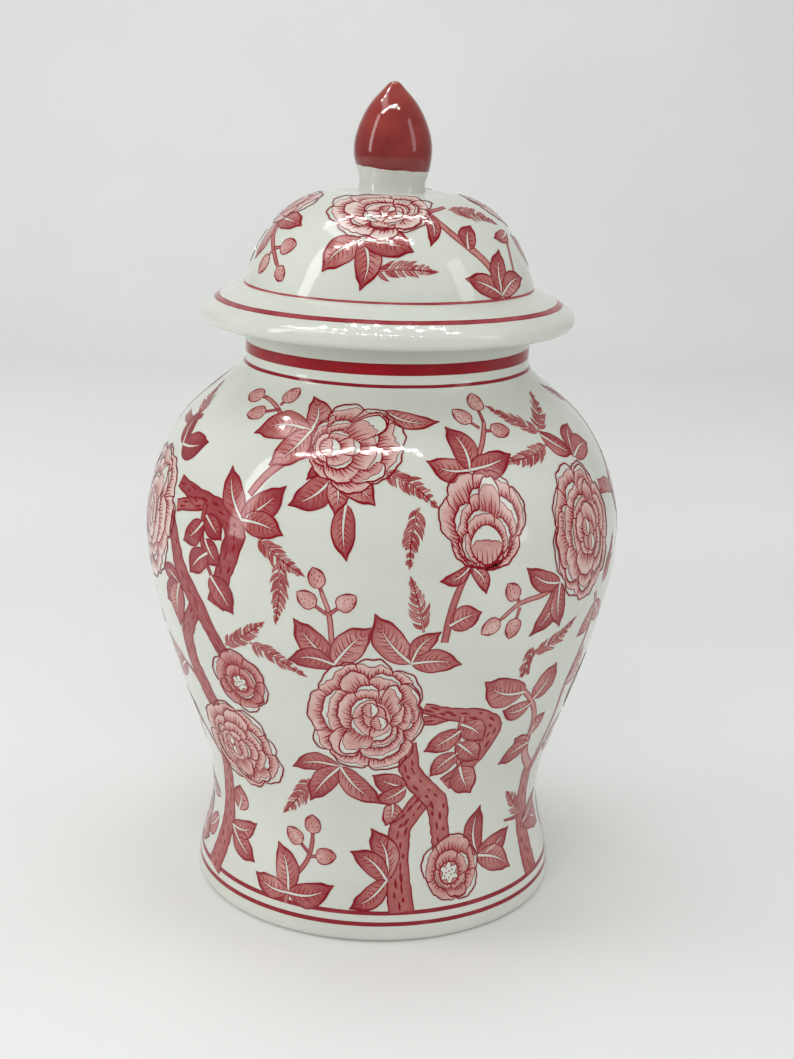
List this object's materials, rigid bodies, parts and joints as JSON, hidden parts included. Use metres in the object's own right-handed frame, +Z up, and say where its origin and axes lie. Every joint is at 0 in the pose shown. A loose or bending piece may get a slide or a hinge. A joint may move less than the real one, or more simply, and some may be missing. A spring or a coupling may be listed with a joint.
{
  "type": "ginger jar",
  "caption": "Porcelain ginger jar, white glaze with crimson peony and branch painting, lift-off domed lid with a red bud finial.",
  "frame": {"origin": "centre of the foot ring's resting face", "axes": "+Z up the jar's axis towards the finial; -Y is the side the picture shows"},
  "size_m": [0.254, 0.254, 0.4342],
  "materials": {
    "painted_glaze": "gloss",
    "white_glaze": "gloss",
    "red_glaze": "gloss"
  },
  "bodies": {
    "jar": {"jar_body": "painted_glaze"},
    "lid_body": {"lid": "painted_glaze", "lid_collar": "white_glaze", "finial": "red_glaze"}
  },
  "joints": [
    {"name": "lid_lift", "type": "slide", "parent": "jar", "child": "lid_body", "axis": [0, 0, 1], "range_m": [0, 0.15]}
  ]
}
